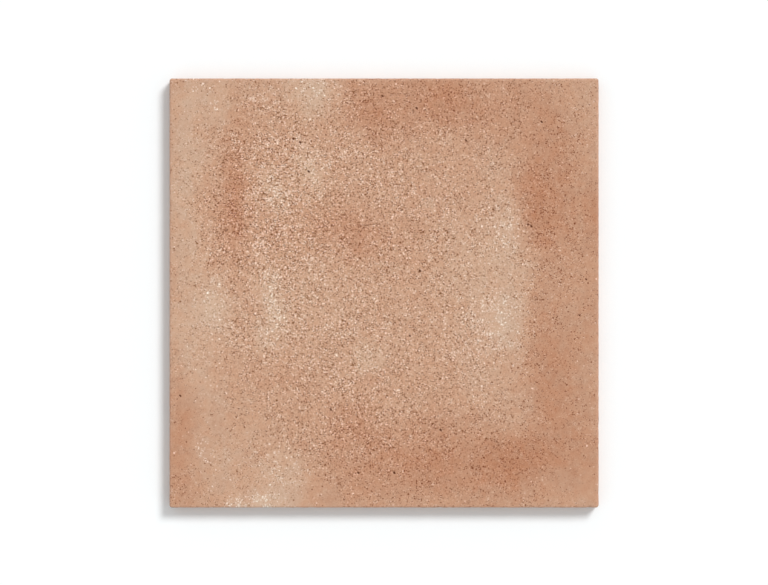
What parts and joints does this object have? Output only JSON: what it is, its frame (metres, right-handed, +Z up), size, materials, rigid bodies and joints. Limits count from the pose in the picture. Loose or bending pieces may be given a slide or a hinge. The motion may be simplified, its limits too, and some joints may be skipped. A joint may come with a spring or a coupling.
{
  "type": "floor tile",
  "caption": "Square matte terracotta-look floor tile with a flat face, a soft arris, upright grout edges and a waffle-keyed back for adhesive.",
  "frame": {"origin": "centre of the back, at the level of the rib crests that the tile rests on", "axes": "+Z up through the walking face; +X and +Y along the sides, with the picture's right as +X and its top as +Y"},
  "size_m": [0.2, 0.2, 0.009],
  "materials": {
    "fired_clay": "matte"
  },
  "bodies": {
    "root": {"floor_tile": "fired_clay"}
  },
  "joints": []
}
